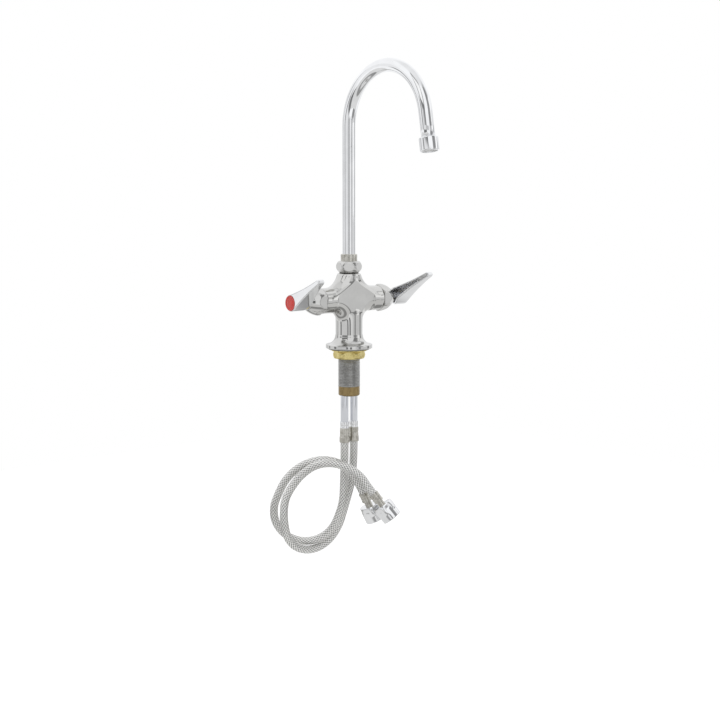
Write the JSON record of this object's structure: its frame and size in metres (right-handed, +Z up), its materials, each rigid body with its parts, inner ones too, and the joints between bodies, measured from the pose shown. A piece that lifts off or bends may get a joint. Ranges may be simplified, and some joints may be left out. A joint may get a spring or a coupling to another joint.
{
  "type": "deck-mount mixing faucet",
  "caption": "Deck-mount mixing faucet with lever handles, a swivelling gooseneck spout, a clamped mounting shank and braided supply hoses with coupling nuts.",
  "frame": {"origin": "centre of the base flange's underside, on the axis of the body and shank, level with the deck's upper face", "axes": "+Z up along the spout's column; -Y the way the spout points at rest; +X toward the cold lever"},
  "size_m": [0.1812, 0.2154, 0.6023],
  "materials": {
    "body_chrome": "polished chrome plate on cast brass",
    "bright_chrome": "bright chrome plate",
    "tube_chrome": "bright plated tube",
    "nickel": "satin nickel",
    "shank_grey": "dull rolled thread",
    "yellow_brass": "bare turned brass",
    "braid": "woven stainless wire",
    "seal_rubber": "moulded rubber",
    "ceramic": "lapped ceramic",
    "stainless": "plain stainless steel",
    "bearing_plastic": "moulded acetal",
    "hot_red": "moulded red",
    "cold_blue": "moulded blue"
  },
  "bodies": {
    "faucet_body": {"mixing_body": "body_chrome", "spout_nut": "body_chrome", "hot_bonnet": "body_chrome", "cold_bonnet": "body_chrome", "hot_upper_collar": "bright_chrome", "cold_upper_collar": "bright_chrome", "hot_supply_tube": "tube_chrome", "cold_supply_tube": "tube_chrome", "hot_upper_ferrule": "nickel", "hot_lower_ferrule": "nickel", "hot_hose_tail": "nickel", "cold_upper_ferrule": "nickel", "cold_lower_ferrule": "nickel", "cold_hose_tail": "nickel", "mounting_shank": "shank_grey", "mounting_washer": "yellow_brass", "mounting_locknut": "yellow_brass", "hot_cartridge_body": "yellow_brass", "cold_cartridge_body": "yellow_brass", "hot_hose": "braid", "cold_hose": "braid", "deck_gasket": "seal_rubber", "hot_seat_seal": "seal_rubber", "hot_tube_seal": "seal_rubber", "hot_hose_washer": "seal_rubber", "cold_seat_seal": "seal_rubber", "cold_tube_seal": "seal_rubber", "cold_hose_washer": "seal_rubber", "hot_fixed_disc": "ceramic", "cold_fixed_disc": "ceramic", "spout_bearing_washer": "bearing_plastic"},
    "spout": {"spout_tube": "bright_chrome", "spout_ferrule": "nickel", "spout_lower_packing": "seal_rubber", "spout_upper_packing": "seal_rubber", "spout_snap_ring": "stainless", "outlet_housing": "bright_chrome", "outlet_gasket": "seal_rubber", "outlet_screen": "stainless", "outlet_insert": "bearing_plastic"},
    "hot_handle": {"hot_turning_disc": "ceramic", "hot_stem": "nickel", "hot_stem_packing": "seal_rubber", "hot_lever": "bright_chrome", "hot_lever_screw": "stainless", "hot_index_button": "hot_red"},
    "cold_handle": {"cold_turning_disc": "ceramic", "cold_stem": "nickel", "cold_stem_packing": "seal_rubber", "cold_lever": "bright_chrome", "cold_lever_screw": "stainless", "cold_index_button": "cold_blue"},
    "hot_nut": {"hot_coupling_nut": "bright_chrome"},
    "cold_nut": {"cold_coupling_nut": "bright_chrome"}
  },
  "joints": [
    {"name": "spout_swivel", "type": "hinge", "parent": "faucet_body", "child": "spout", "pos_m": [0, 0, 0.0924], "axis": [0, 0, 1], "continuous": true},
    {"name": "hot_lever_turn", "type": "hinge", "parent": "faucet_body", "child": "hot_handle", "pos_m": [-0.078, 0, 0.06], "axis": [-1, 0, 0], "range_deg": [0, 90]},
    {"name": "cold_lever_turn", "type": "hinge", "parent": "faucet_body", "child": "cold_handle", "pos_m": [0.078, 0, 0.06], "axis": [-1, 0, 0], "range_deg": [0, 90]},
    {"name": "hot_nut_spin", "type": "hinge", "parent": "faucet_body", "child": "hot_nut", "pos_m": [0.01139, -0.02872, -0.19983], "axis": [0.3401, -0.225, -0.9131], "continuous": true},
    {"name": "cold_nut_spin", "type": "hinge", "parent": "faucet_body", "child": "cold_nut", "pos_m": [0.01031, -0.05677, -0.19306], "axis": [0.4396, -0.4421, -0.7819], "continuous": true}
  ]
}
